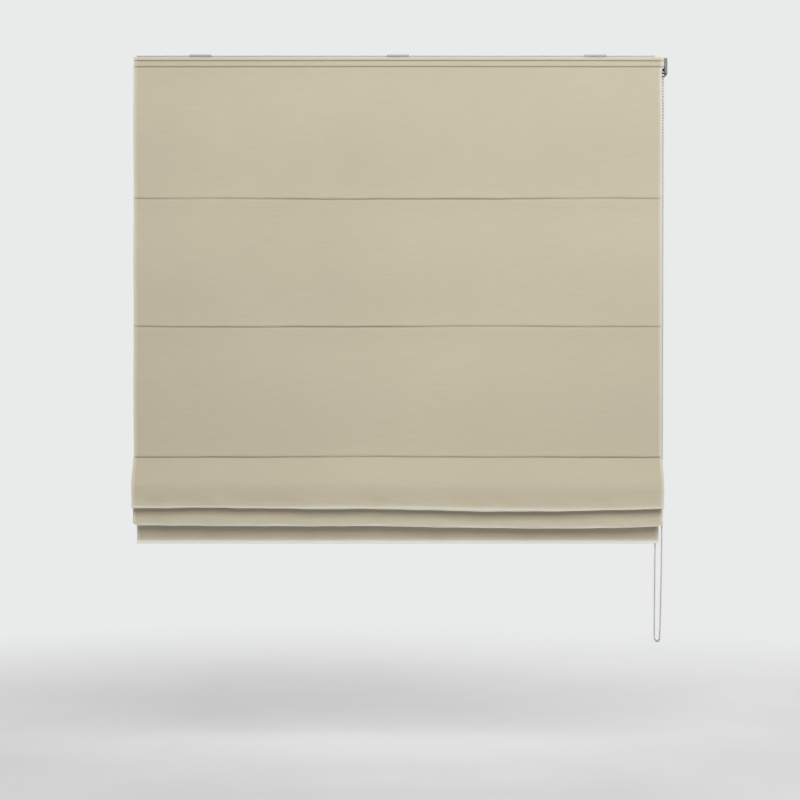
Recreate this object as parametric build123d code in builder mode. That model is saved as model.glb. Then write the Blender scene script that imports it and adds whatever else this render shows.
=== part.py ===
from build123d import *
from math import pi, radians, tan
import os

# Roman blind, partly raised: a headrail with a chain drive and cord spools, lined cloth stiffened
# by rods in pockets, and two loops gathered in front of the bottom hem.
# Millimetres. X runs to the right, Y away from the room and Z up. The origin is the middle of the
# middle bracket's top face, so that the whole blind hangs below Z = 0.

os.makedirs("parts", exist_ok=True)

# Cloth, measured along the photo's flat panels
CLOTH_WIDTH = 1066.0
CLOTH_T = 0.8
LINING_T = 0.5
LAYER_GAP = 0.3
SIDE_HEM = 20.0
TOP_PANEL = 284.5
SECOND_PANEL = 259.0
THIRD_PANEL = 263.3

# Gathered stack below the third rod: each fold's drop below the one before, and depths from the face
STACK_PITCH = 18.0
FRONT_LOOP_HANG = 101.1
SECOND_LOOP_STEP = 36.9
HEM_STEP = 39.8
FRONT_LOOP_REACH = 35.0
SECOND_LOOP_REACH = 16.5
LOOP_BEND = 5.4
LOOP_GAP = 0.2
PEAK_BEND = 1.2
PEAK_GAP = 0.04
HEM_SETBACK = 19.0
HEM_TURN_UP = 16.0
HEM_SHOULDER = 7.0
HEM_SHOULDER_BEND = 8.0

# Headrail, an aluminium channel open at the bottom
RAIL_DEPTH = 28.0
RAIL_HEIGHT = 34.0
RAIL_WALL = 1.5
RAIL_LIP = 2.0
RIB_SPREAD = 18.0
RIB_HEIGHT = 4.9
RIB_FLANGE = 2.4
RIB_FLANGE_T = 1.2
END_CAP_T = 3.0
END_CAP_INSET = 1.0

# Touch tape that holds the cloth on the rail
TAPE_WIDTH = 20.0
TAPE_T = 1.4
TAPE_RECESS = 0.8
TAPE_DROP = 2.0

# Ceiling brackets
BRACKET_T = 1.5
BRACKET_LENGTH = 44.0
BRACKET_INSET = 133.0
BRACKET_HOOK = 1.3
SCREW_HOLE_D = 5.0
SCREW_SPACING = 24.0

# Shaft, spools and cradles
SHAFT_FLATS = 6.0
SHAFT_Y = 1.0
SHAFT_DROP = 16.5
DRUM_D = 14.6
DRUM_LENGTH = 24.0
SPOOL_FLANGE_D = 19.4
SPOOL_FLANGE_T = 2.0
JOURNAL_D = 9.0
JOURNAL_LENGTH = 4.0
CRADLE_WALL = 3.0
CRADLE_FLOOR = 2.0
CRADLE_HEADROOM = 6.5
NOZZLE_D = 5.2
NOZZLE_DROP = 1.5
BUSH_D = 10.0
BUSH_LENGTH = 11.0

# Chain wheel and control unit
BEAD_D = 4.5
BEAD_PITCH = 6.0
WHEEL_POCKETS = 12
WHEEL_WIDTH = 8.0
WHEEL_TIP = 0.8
LINK_D = 1.8
CHAIN_OUT = 4.0
CONTROL_WIDTH = 25.0
COVER_T = 2.5
HOUSING_DEPTH = 33.0
HOUSING_FOOT = 0.5
HOUSING_CORNER = 4.0
BEAD_CLEAR = 0.5
WHEEL_INSET = 17.0
HUB_D = 17.0
HUB_LENGTH = 9.0
HUB_SOCKET = 4.0
CORE_D = 10.0
CORE_BORE_D = 4.0
SPRING_WIRE = 1.0
SPRING_TURNS = 9
SPIGOT_LENGTH = 16.0
SPIGOT_WALL = 1.6

# Rods, their pockets and the cord guides
ROD_D = 4.0
ROD_BORE_D = 2.0
ROD_INSET = 15.0
ROD_TIP_T = 2.0
ROD_TIP_PLUG = 6.0
POCKET_WALL = 0.5
POCKET_CLEAR = 0.3
POCKET_SEAM = 0.1
CORD_D = 1.4
CORD_COUNT = 4
CORD_EDGE = 113.0
GUIDE_WIDTH = 8.0
GUIDE_WALL = 1.2
GUIDE_HEIGHT = 4.0
GUIDE_EYE_D = 3.6
GUIDE_EYE_WALL = 1.6
SADDLE_BELOW = 35.0
SADDLE_ARC = 135.0
STOP_D = 4.6
STOP_LENGTH = 10.0

# Bottom bar in the hem
BAR_T = 3.0
BAR_HEIGHT = 25.0
BAR_INSET = 17.0
BAR_CAP_T = 2.0
BAR_CAP_PLUG = 10.0
BAR_BORE_T = 1.2
BAR_BORE_HEIGHT = 16.0

# Clearances
RUNNING = 0.08
SLIP = 0.1
SEAT = 0.3

# Bead chain: two long strands from the wheel, and the bend that joins them at the bottom
CHAIN_ROUTE = [
    (537.0, -10.5, -31.8),
    (535.7, -10.7, -890.0),
    (531.0, -10.9, -1181.6),
    (528.1, -3.7, -1189.5),
    (523.9, 6.7, -1189.5),
    (521.0, 13.9, -1181.6),
    (537.0, 12.5, -31.8),
]

# Places that follow from the sizes
half_cloth = CLOTH_WIDTH / 2
rail_top = -BRACKET_T - SLIP - RIB_HEIGHT
rail_bottom = rail_top - RAIL_HEIGHT
rail_front = -RAIL_DEPTH / 2
chain_x = half_cloth + CHAIN_OUT
rail_right = chain_x - WHEEL_INSET
rail_left = -(half_cloth - END_CAP_T - END_CAP_INSET)
shaft_z = rail_top - SHAFT_DROP
hook_face = rail_front + TAPE_RECESS - TAPE_T
lining_back = hook_face - TAPE_T
layers = CLOTH_T + LAYER_GAP + LINING_T
face_y = lining_back - layers
rod_y = lining_back + ROD_D / 2 + POCKET_CLEAR + POCKET_SEAM
wheel_r = BEAD_PITCH * WHEEL_POCKETS / (2 * pi)
winding_r = DRUM_D / 2 + SEAT
cord_y = SHAFT_Y - winding_r - CORD_D / 2
cord_step = (CLOTH_WIDTH - 2 * CORD_EDGE) / (CORD_COUNT - 1)
cord_x = [CORD_EDGE - half_cloth + i * cord_step for i in range(CORD_COUNT)]

rod_z = [rail_top - TOP_PANEL]
for gap in (SECOND_PANEL, THIRD_PANEL, STACK_PITCH, STACK_PITCH):
    rod_z.append(rod_z[-1] - gap)

shaft_axis = Axis((0, SHAFT_Y, shaft_z), (1, 0, 0))


def save(part, name):
    part.label = name
    export_step(part, f"parts/{name}.step")


def side_plane(x):
    """The plane across the blind at x, drawn in Y and Z and looking along +X."""
    return Plane.YZ.offset(x)


def shaft_plane(x=0.0):
    """The plane along the shaft, drawn in X from x and in height over the shaft's axis."""
    return Plane(origin=(x, SHAFT_Y, shaft_z), x_dir=(1, 0, 0), z_dir=(0, -1, 0))


# Cloth course: the face's line from the top edge down, as corners (y, z) with the bend at each
peak_drop = ROD_D / 2 + POCKET_CLEAR + POCKET_SEAM + layers
front_loop_z = rod_z[2] - FRONT_LOOP_HANG
second_loop_z = front_loop_z - SECOND_LOOP_STEP
hem_z = second_loop_z - HEM_STEP
hem_y = face_y + HEM_SETBACK
hem_bend = BAR_T / 2 + SEAT + CLOTH_T
bar_bottom = hem_z + CLOTH_T + SEAT
bar_top = bar_bottom + BAR_HEIGHT
loop_depth = 2 * LOOP_BEND + LOOP_GAP
peak_half = PEAK_BEND + PEAK_GAP / 2
front_y = face_y - FRONT_LOOP_REACH
second_y = face_y - SECOND_LOOP_REACH
z3, z4, z5 = rod_z[2], rod_z[3], rod_z[4]

COURSE = [
    (face_y, rail_top, 0),
    (face_y, z3 - 3, 14),
    (face_y - 10, z3 - 19, 60),
    (front_y + 9.4, z3 - 39, 50),
    (front_y, z3 - 68, 60),
    (front_y, front_loop_z, LOOP_BEND),
    (front_y + loop_depth, front_loop_z, LOOP_BEND),
    (face_y - 8.6, z5 - 4, 40),
    (rod_y - peak_half, z4 - peak_drop - 3, 4),
    (rod_y - peak_half, z4 - peak_drop, PEAK_BEND),
    (rod_y + peak_half, z4 - peak_drop, PEAK_BEND),
    (rod_y + peak_half, z4 - peak_drop - 2.5, 3),
    (face_y - 3.4, z5 - 0.5, 12),
    (second_y + 6, z5 - 42, 60),
    (second_y, z5 - 70, 60),
    (second_y, second_loop_z, LOOP_BEND),
    (second_y + loop_depth, second_loop_z, LOOP_BEND),
    (rod_y - peak_half, z5 - peak_drop - 24, 60),
    (rod_y - peak_half, z5 - peak_drop, PEAK_BEND),
    (rod_y + peak_half, z5 - peak_drop, PEAK_BEND),
    (rod_y + peak_half, z5 - 22, 50),
    (hem_y, bar_top + 32, 50),
]
LINING_END = [(hem_y, bar_top + SEAT, 0)]
turn_up_y = hem_y + layers + SEAT + CLOTH_T
turn_up_z = bar_top + HEM_TURN_UP
HEM = [
    (hem_y, hem_z, hem_bend - PEAK_GAP / 2),
    (hem_y + 2 * hem_bend, hem_z, hem_bend - PEAK_GAP / 2),
    (hem_y + 2 * hem_bend, turn_up_z - 2 * HEM_SHOULDER, HEM_SHOULDER_BEND),
    (turn_up_y, turn_up_z - HEM_SHOULDER, HEM_SHOULDER_BEND),
    (turn_up_y, turn_up_z, 0),
]


def shifted(course, distance):
    """The same course moved behind itself, with each bend's radius to suit."""
    moved = []
    last = len(course) - 1
    for i, (y, z, bend) in enumerate(course):
        before = course[max(i - 1, 0)]
        here = course[max(i, 1)]
        after = course[min(i + 1, last)]
        this = course[min(i, last - 1)]
        arrive = Vector(here[0] - before[0], here[1] - before[1]).normalized()
        leave = Vector(after[0] - this[0], after[1] - this[1]).normalized()
        turn = arrive.X * leave.Y - arrive.Y * leave.X
        side = Vector(-arrive.Y, arrive.X) + Vector(-leave.Y, leave.X)
        side = side / (1 + arrive.dot(leave))
        bend = bend - distance if turn > 0 else bend + distance
        moved.append((y + side.X * distance, z + side.Y * distance, bend))
    return moved


def band(course, near, far):
    """The outline of one layer of cloth, between two distances behind the course."""
    front = shifted(course, near)
    back = shifted(course, far)
    with BuildSketch() as outline:
        with BuildLine():
            FilletPolyline(*[p[:2] for p in front], radius=[p[2] for p in front[1:-1]])
            FilletPolyline(*[p[:2] for p in back], radius=[p[2] for p in back[1:-1]])
            Line(front[0][:2], back[0][:2])
            Line(front[-1][:2], back[-1][:2])
        make_face()
    return outline.sketch


with BuildPart() as face_fabric:
    with BuildSketch(side_plane(0)):
        add(band(COURSE + HEM, 0, CLOTH_T))
    extrude(amount=half_cloth, both=True)
    # The side edges are turned to the back and sewn down beside the lining
    for x in (-half_cloth, half_cloth - SIDE_HEM):
        with BuildSketch(side_plane(x)):
            add(band(COURSE + LINING_END, CLOTH_T, layers))
        extrude(amount=SIDE_HEM)
save(face_fabric.part, "face_fabric")

with BuildPart() as lining:
    with BuildSketch(side_plane(0)):
        add(band(COURSE + LINING_END, CLOTH_T + LAYER_GAP, layers))
        with Locations(*[(rod_y, z) for z in rod_z]):
            Circle(ROD_D / 2 + POCKET_CLEAR + POCKET_WALL)
            Circle(ROD_D / 2 + POCKET_CLEAR, mode=Mode.SUBTRACT)
    extrude(amount=half_cloth - SIDE_HEM - SEAT, both=True)
save(lining.part, "lining")

# Headrail: channel with a tape recess in front and two hooked ribs on top for the brackets
with BuildPart() as headrail:
    with BuildSketch(side_plane(rail_left)):
        with Locations((0, rail_top)):
            Rectangle(RAIL_DEPTH, RAIL_HEIGHT, align=(Align.CENTER, Align.MAX))
        with Locations((0, rail_top - RAIL_WALL)):
            Rectangle(
                RAIL_DEPTH - 2 * RAIL_WALL - TAPE_RECESS,
                RAIL_HEIGHT - 2 * RAIL_WALL,
                align=(Align.CENTER, Align.MAX),
                mode=Mode.SUBTRACT,
            )
        with Locations((0, rail_bottom)):
            Rectangle(
                RAIL_DEPTH - 2 * RAIL_WALL - TAPE_RECESS - 2 * RAIL_LIP,
                RAIL_WALL,
                align=(Align.CENTER, Align.MIN),
                mode=Mode.SUBTRACT,
            )
        with Locations((rail_front, rail_top - TAPE_DROP + SLIP)):
            Rectangle(
                TAPE_RECESS,
                TAPE_WIDTH + 2 * SLIP,
                align=(Align.MIN, Align.MAX),
                mode=Mode.SUBTRACT,
            )
        for side in (-1, 1):
            with Locations((side * RIB_SPREAD / 2, rail_top + RIB_HEIGHT / 2)):
                Rectangle(RAIL_WALL, RIB_HEIGHT)
            with Locations(
                (
                    side * (RIB_SPREAD + RIB_FLANGE) / 2,
                    rail_top + RIB_HEIGHT - RIB_FLANGE_T / 2,
                )
            ):
                Rectangle(RIB_FLANGE, RIB_FLANGE_T)
    extrude(amount=rail_right - rail_left)
save(headrail.part, "headrail")

# Touch tape: the hooked strip is glued in the rail's recess, the looped one is sewn to the lining
tape_half = half_cloth - SIDE_HEM - SEAT
tape_top = rail_top - TAPE_DROP
with BuildPart() as hook_tape:
    with BuildSketch(side_plane(-tape_half)):
        with Locations((hook_face, tape_top)):
            Rectangle(TAPE_T, TAPE_WIDTH, align=(Align.MIN, Align.MAX))
    extrude(amount=tape_half + rail_right)
save(hook_tape.part, "hook_tape")

with BuildPart() as loop_tape:
    with BuildSketch(side_plane(0)):
        with Locations((lining_back, tape_top)):
            Rectangle(TAPE_T, TAPE_WIDTH, align=(Align.MIN, Align.MAX))
    extrude(amount=tape_half, both=True)
save(loop_tape.part, "loop_tape")

# Brackets: a screwed plate whose two legs hook under the rail's ribs
leg_inner = RIB_SPREAD / 2 + RIB_FLANGE + SLIP
hook_top = -BRACKET_T - SLIP - RIB_FLANGE_T - SLIP
for name, x in (
    ("bracket_left", BRACKET_INSET - half_cloth),
    ("bracket_middle", 0.0),
    ("bracket_right", half_cloth - BRACKET_INSET),
):
    with BuildPart() as bracket:
        with BuildSketch(side_plane(x)):
            Rectangle(
                2 * (leg_inner + BRACKET_T), BRACKET_T, align=(Align.CENTER, Align.MAX)
            )
            for side in (-1, 1):
                with Locations((side * (leg_inner + BRACKET_T / 2), 0)):
                    Rectangle(
                        BRACKET_T,
                        BRACKET_HOOK - hook_top,
                        align=(Align.CENTER, Align.MAX),
                    )
                with Locations((side * (leg_inner - BRACKET_HOOK / 2), hook_top)):
                    Rectangle(
                        BRACKET_HOOK, BRACKET_HOOK, align=(Align.CENTER, Align.MAX)
                    )
        extrude(amount=BRACKET_LENGTH / 2, both=True)
        with Locations((x, 0, 0)):
            with GridLocations(SCREW_SPACING, 0, 2, 1):
                Hole(SCREW_HOLE_D / 2)
        fillet(
            bracket.edges().filter_by(Axis.Z).group_by(SortBy.LENGTH)[-1],
            radius=BRACKET_T / 2 - SLIP,
        )
    save(bracket.part, name)

# Idle end: a cap with a hollow spigot in the rail, and the bush that carries the shaft's left end
inner_depth = RAIL_DEPTH - 2 * RAIL_WALL - TAPE_RECESS - 2 * SLIP
inner_height = RAIL_HEIGHT - 2 * RAIL_WALL - 2 * SLIP
inner_mid_z = rail_top - RAIL_HEIGHT / 2


def spigot_ring():
    with BuildSketch() as ring:
        with Locations((0, inner_mid_z)):
            Rectangle(inner_depth, inner_height)
            Rectangle(
                inner_depth - 2 * SPIGOT_WALL,
                inner_height - 2 * SPIGOT_WALL,
                mode=Mode.SUBTRACT,
            )
    return ring.sketch


bush_bore = BUSH_D / 2 + RUNNING
with BuildPart() as idle_end_cap:
    with BuildSketch(side_plane(rail_left - END_CAP_T)):
        with Locations((0, inner_mid_z)):
            RectangleRounded(RAIL_DEPTH, RAIL_HEIGHT, 1.5)
    extrude(amount=END_CAP_T)
    with BuildSketch(side_plane(rail_left)):
        add(spigot_ring())
        with Locations((SHAFT_Y, shaft_z)):
            Circle(bush_bore + SPIGOT_WALL)
    extrude(amount=SPIGOT_LENGTH)
    with BuildSketch(side_plane(rail_left + SEAT)):
        with Locations((SHAFT_Y, shaft_z)):
            Circle(bush_bore)
    extrude(amount=SPIGOT_LENGTH, mode=Mode.SUBTRACT)
save(idle_end_cap.part, "idle_end_cap")

bush_x = rail_left + 2 * SEAT
with BuildPart() as shaft_bush:
    with BuildSketch(side_plane(bush_x)):
        with Locations((SHAFT_Y, shaft_z)):
            Circle(BUSH_D / 2)
            RegularPolygon(
                SHAFT_FLATS / 2 + SLIP, 6, major_radius=False, mode=Mode.SUBTRACT
            )
    extrude(amount=BUSH_LENGTH)
save(shaft_bush.part, "shaft_bush")

# Shaft: a hexagonal bar from the bush to the socket in the chain wheel's hub
hub_x = chain_x - WHEEL_WIDTH / 2 - HUB_LENGTH
with BuildPart() as drive_shaft:
    with BuildSketch(side_plane(bush_x)):
        with Locations((SHAFT_Y, shaft_z)):
            RegularPolygon(SHAFT_FLATS / 2, 6, major_radius=False)
    extrude(amount=hub_x + HUB_SOCKET - SEAT - bush_x)
save(drive_shaft.part, "drive_shaft")

# Cord spools on the shaft, each in a cradle that stands on the rail's lips
journal_gap = (JOURNAL_LENGTH - CRADLE_WALL) / 2
floor_z = rail_bottom + RAIL_WALL
for number, x in enumerate(cord_x, 1):
    drum_left = x - DRUM_LENGTH / 2
    drum_right = x + DRUM_LENGTH / 2
    spool_end = drum_right + SPOOL_FLANGE_T
    with BuildPart() as spool:
        with BuildSketch(shaft_plane()):
            with BuildLine():
                Polyline(
                    (drum_left - JOURNAL_LENGTH, 0),
                    (drum_left - JOURNAL_LENGTH, JOURNAL_D / 2),
                    (drum_left, JOURNAL_D / 2),
                    (drum_left, DRUM_D / 2 + 1),
                    (drum_left + 1, DRUM_D / 2 + 1),
                    (drum_left + 2, DRUM_D / 2),
                    (drum_right, DRUM_D / 2),
                    (drum_right, SPOOL_FLANGE_D / 2),
                    (spool_end, SPOOL_FLANGE_D / 2),
                    (spool_end, JOURNAL_D / 2),
                    (spool_end + JOURNAL_LENGTH, JOURNAL_D / 2),
                    (spool_end + JOURNAL_LENGTH, 0),
                    close=True,
                )
            make_face()
        revolve(axis=shaft_axis)
        with BuildSketch(side_plane(drum_left - JOURNAL_LENGTH)):
            with Locations((SHAFT_Y, shaft_z)):
                RegularPolygon(SHAFT_FLATS / 2 + SLIP, 6, major_radius=False)
        extrude(
            amount=spool_end + 2 * JOURNAL_LENGTH - drum_left, mode=Mode.SUBTRACT
        )
    save(spool.part, f"spool_{number}")

    wall_left = drum_left - journal_gap - CRADLE_WALL
    wall_right = spool_end + journal_gap
    with BuildPart() as cradle:
        for wall_x in (wall_left, wall_right):
            with BuildSketch(side_plane(wall_x)):
                with Locations((0, floor_z)):
                    Rectangle(
                        inner_depth,
                        shaft_z + CRADLE_HEADROOM - floor_z,
                        align=(Align.CENTER, Align.MIN),
                    )
                with Locations((SHAFT_Y, shaft_z)):
                    Circle(JOURNAL_D / 2 + RUNNING, mode=Mode.SUBTRACT)
            extrude(amount=CRADLE_WALL)
        with BuildSketch(side_plane(wall_left)):
            with Locations((0, floor_z)):
                Rectangle(inner_depth, CRADLE_FLOOR, align=(Align.CENTER, Align.MIN))
        extrude(amount=wall_right + CRADLE_WALL - wall_left)
        with BuildSketch(Plane.XY.offset(rail_bottom - NOZZLE_DROP)):
            with Locations((x, cord_y)):
                Circle(NOZZLE_D / 2)
        extrude(amount=RAIL_WALL + NOZZLE_DROP + CRADLE_FLOOR / 2)
        with Locations((x, cord_y, floor_z)):
            Hole(CORD_D / 2 + 2 * SEAT)
    save(cradle.part, f"cradle_{number}")

    # Lift cord: its turns on the drum, and the straight run through the guides to its stop
    with BuildPart() as lift_cord:
        with BuildSketch(side_plane(x - CORD_D)):
            with Locations((SHAFT_Y, shaft_z)):
                Circle(winding_r + CORD_D + SLIP)
                Circle(winding_r - SLIP, mode=Mode.SUBTRACT)
        extrude(amount=CORD_D + DRUM_LENGTH / 2 - SEAT)
        cord_end = rod_z[-1] - GUIDE_HEIGHT / 2 - STOP_LENGTH + 2 * CORD_D
        with BuildSketch(Plane.XY.offset(shaft_z)):
            with Locations((x, cord_y)):
                Circle(CORD_D / 2)
        extrude(amount=cord_end - shaft_z)
    save(lift_cord.part, f"lift_cord_{number}")

# Control unit: chain wheel, wrap spring and core between a housing and its cover
cover_x = rail_right + CONTROL_WIDTH - COVER_T
housing_height = RAIL_HEIGHT + HOUSING_FOOT
cavity_r = wheel_r + BEAD_D / 2 + BEAD_CLEAR
cavity_x = chain_x - WHEEL_WIDTH / 2 - BEAD_CLEAR
bore_r = CORE_D / 2 + RUNNING + SPRING_WIRE + SEAT
slot_width = BEAD_D + 2 * SEAT
slot_top = shaft_z - BEAD_D / 2
housing_bottom = rail_top - housing_height


def housing_outline():
    with BuildSketch() as outline:
        with Locations((SHAFT_Y, rail_top)):
            RectangleRounded(
                HOUSING_DEPTH,
                housing_height,
                HOUSING_CORNER,
                align=(Align.CENTER, Align.MAX),
            )
    return outline.sketch


with BuildPart() as control_housing:
    with BuildSketch(side_plane(rail_right)):
        add(housing_outline())
    extrude(amount=cover_x - rail_right)
    with BuildSketch(side_plane(cavity_x)):
        with Locations((SHAFT_Y, shaft_z)):
            Circle(cavity_r)
    extrude(amount=cover_x - cavity_x, mode=Mode.SUBTRACT)
    with BuildSketch(side_plane(hub_x - BEAD_CLEAR)):
        with Locations((SHAFT_Y, shaft_z)):
            Circle(HUB_D / 2 + BEAD_CLEAR)
    extrude(amount=cavity_x - hub_x + BEAD_CLEAR, mode=Mode.SUBTRACT)
    # The chain runs in two upright slots, open to the front and to the back
    for side in (-1, 1):
        strand = SHAFT_Y + side * wheel_r
        floor = strand - side * slot_width / 2
        outside = SHAFT_Y + side * HOUSING_DEPTH
        with BuildSketch(Plane.XY.offset(housing_bottom)):
            with Locations((chain_x, (floor + outside) / 2)):
                Rectangle(slot_width, abs(outside - floor))
        extrude(amount=slot_top - housing_bottom, mode=Mode.SUBTRACT)
    with BuildSketch(side_plane(rail_right)):
        add(spigot_ring())
    extrude(amount=-SPIGOT_LENGTH)
    with BuildSketch(side_plane(rail_right)):
        with Locations((SHAFT_Y, shaft_z)):
            Circle(SHAFT_FLATS / 2 + SPIGOT_WALL)
    extrude(amount=hub_x - rail_right, mode=Mode.SUBTRACT)
save(control_housing.part, "control_housing")

with BuildPart() as control_cover:
    with BuildSketch(side_plane(cover_x)):
        add(housing_outline())
    extrude(amount=COVER_T)
    chamfer(
        control_cover.faces().sort_by(Axis.X)[-1].edges(), length=COVER_T / 3
    )
save(control_cover.part, "control_cover")

with BuildPart() as brake_core:
    with BuildSketch(side_plane(cover_x)):
        with Locations((SHAFT_Y, shaft_z)):
            Circle(CORE_D / 2)
            Circle(CORE_BORE_D / 2, mode=Mode.SUBTRACT)
    extrude(amount=hub_x + HUB_SOCKET + SEAT - cover_x)
save(brake_core.part, "brake_core")

spring_r = CORE_D / 2 + RUNNING + SPRING_WIRE / 2
spring_pitch = SPRING_WIRE * 0.96
with BuildPart() as brake_spring:
    with BuildSketch(shaft_plane(chain_x)):
        with Locations((0, spring_r)):
            with GridLocations(spring_pitch, 0, SPRING_TURNS, 1):
                Circle(SPRING_WIRE / 2)
    revolve(axis=shaft_axis)
save(brake_spring.part, "brake_spring")

with BuildPart() as chain_wheel:
    with BuildSketch(side_plane(hub_x)):
        with Locations((SHAFT_Y, shaft_z)):
            Circle(HUB_D / 2)
            RegularPolygon(
                SHAFT_FLATS / 2 + SLIP, 6, major_radius=False, mode=Mode.SUBTRACT
            )
    extrude(amount=HUB_SOCKET)
    with BuildSketch(side_plane(hub_x + HUB_SOCKET)):
        with Locations((SHAFT_Y, shaft_z)):
            Circle(HUB_D / 2)
            Circle(bore_r, mode=Mode.SUBTRACT)
    extrude(amount=HUB_LENGTH - HUB_SOCKET)
    with BuildSketch(side_plane(chain_x - WHEEL_WIDTH / 2)):
        with Locations((SHAFT_Y, shaft_z)):
            Circle(wheel_r + WHEEL_TIP)
            Circle(bore_r, mode=Mode.SUBTRACT)
    extrude(amount=WHEEL_WIDTH)
    # A groove for the links and a round-bottomed pocket across it for each bead
    with BuildSketch(side_plane(chain_x)):
        with Locations((SHAFT_Y, shaft_z)):
            Circle(wheel_r + 2 * WHEEL_TIP)
            Circle(wheel_r - LINK_D / 2, mode=Mode.SUBTRACT)
    extrude(amount=LINK_D / 2, both=True, mode=Mode.SUBTRACT)
    pocket_r = BEAD_D / 2 + SLIP
    with BuildSketch(side_plane(chain_x)):
        with Locations((SHAFT_Y, shaft_z)):
            with PolarLocations(wheel_r, WHEEL_POCKETS, start_angle=180 / WHEEL_POCKETS):
                Circle(pocket_r)
    extrude(amount=pocket_r, both=True, mode=Mode.SUBTRACT)
save(chain_wheel.part, "chain_wheel")

# Rods: glass fibre tubes in the lining's pockets, with a plugged tip at each end
rod_end = half_cloth - ROD_INSET
for number, z in enumerate(rod_z, 1):
    with BuildPart() as rod:
        with BuildSketch(side_plane(0)):
            with Locations((rod_y, z)):
                Circle(ROD_D / 2)
                Circle(ROD_BORE_D / 2, mode=Mode.SUBTRACT)
        extrude(amount=rod_end, both=True)
    save(rod.part, f"rod_{number}")

    with BuildPart() as rod_tips:
        for side in (-1, 1):
            with BuildSketch(side_plane(side * rod_end)):
                with Locations((rod_y, z)):
                    Circle(ROD_D / 2)
            extrude(amount=side * ROD_TIP_T)
            with BuildSketch(side_plane(side * rod_end)):
                with Locations((rod_y, z)):
                    Circle(ROD_BORE_D / 2 - SLIP / 2)
            extrude(amount=-side * ROD_TIP_PLUG)
    save(rod_tips.part, f"rod_tips_{number}")

    # Cord guides: a saddle round the pocket's back and an eye for the lift cord
    saddle_r = ROD_D / 2 + POCKET_CLEAR + POCKET_WALL + SEAT
    with BuildPart() as cord_guides:
        for x in cord_x:
            with BuildSketch(side_plane(x - GUIDE_WIDTH / 2)):
                with BuildLine():
                    inner = CenterArc((rod_y, z), saddle_r, -SADDLE_BELOW, SADDLE_ARC)
                    outer = CenterArc(
                        (rod_y, z), saddle_r + GUIDE_WALL, -SADDLE_BELOW, SADDLE_ARC
                    )
                    Line(inner @ 0, outer @ 0)
                    Line(inner @ 1, outer @ 1)
                make_face()
            extrude(amount=GUIDE_WIDTH)
            with BuildSketch(Plane.XY.offset(z - GUIDE_HEIGHT / 2)):
                with Locations((x, cord_y)):
                    Circle(GUIDE_EYE_D / 2 + GUIDE_EYE_WALL)
                    Circle(GUIDE_EYE_D / 2, mode=Mode.SUBTRACT)
            extrude(amount=GUIDE_HEIGHT)
    save(cord_guides.part, f"cord_guides_{number}")

# Cord stops below the lowest guides
with BuildPart() as cord_stops:
    with BuildSketch(Plane.XY.offset(rod_z[-1] - GUIDE_HEIGHT / 2)):
        with Locations(*[(x, cord_y) for x in cord_x]):
            Circle(STOP_D / 2)
            Circle(CORD_D / 2 + SEAT, mode=Mode.SUBTRACT)
    extrude(amount=-STOP_LENGTH)
    chamfer(
        cord_stops.faces().sort_by(Axis.Z)[0:CORD_COUNT].edges().filter_by(
            lambda edge: edge.radius > CORD_D
        ),
        length=STOP_D / 8,
    )
save(cord_stops.part, "cord_stops")

# Bottom bar: a flat hollow section standing in the hem, closed by a plugged cap at each end
bar_y = hem_y + hem_bend
bar_mid = bar_bottom + BAR_HEIGHT / 2
bar_end = half_cloth - BAR_INSET
with BuildPart() as bottom_bar:
    with BuildSketch(side_plane(0)):
        with Locations((bar_y, bar_mid)):
            SlotOverall(BAR_HEIGHT, BAR_T, rotation=90)
            SlotOverall(BAR_BORE_HEIGHT, BAR_BORE_T, rotation=90, mode=Mode.SUBTRACT)
    extrude(amount=bar_end, both=True)
save(bottom_bar.part, "bottom_bar")

with BuildPart() as bottom_bar_caps:
    for side in (-1, 1):
        with BuildSketch(side_plane(side * bar_end)):
            with Locations((bar_y, bar_mid)):
                SlotOverall(BAR_HEIGHT, BAR_T, rotation=90)
        extrude(amount=side * BAR_CAP_T)
        with BuildSketch(side_plane(side * bar_end)):
            with Locations((bar_y, bar_mid)):
                SlotOverall(
                    BAR_BORE_HEIGHT - SLIP, BAR_BORE_T - SLIP, rotation=90
                )
        extrude(amount=-side * BAR_CAP_PLUG)
save(bottom_bar_caps.part, "bottom_bar_caps")

# Bead chain as a plain tube; each bend is as large as its two runs allow
route = [Vector(*point) for point in CHAIN_ROUTE]
chain_radii = []
for before, here, after in zip(route, route[1:], route[2:]):
    arrive = here - before
    leave = after - here
    half_turn = radians(arrive.get_angle(leave)) / 2
    chain_radii.append(0.45 * min(arrive.length, leave.length) / tan(half_turn))
with BuildPart() as chain:
    with BuildLine() as chain_line:
        FilletPolyline(*route, radius=chain_radii)
    with BuildSketch(Plane(origin=chain_line.line @ 0, z_dir=chain_line.line % 0)):
        Circle(BEAD_D / 2)
    sweep(path=chain_line.line)
save(chain.part, "chain")

chain_length = sum(edge.length for edge in chain_line.edges())
tube_volume = pi * (BEAD_D / 2) ** 2 * chain_length
print("chain bend radii", [round(r, 1) for r in chain_radii])
print("chain length", round(chain_length, 1))
print("chain volume over section times length", round(chain.part.volume / tube_volume, 4))
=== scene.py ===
import math

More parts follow.
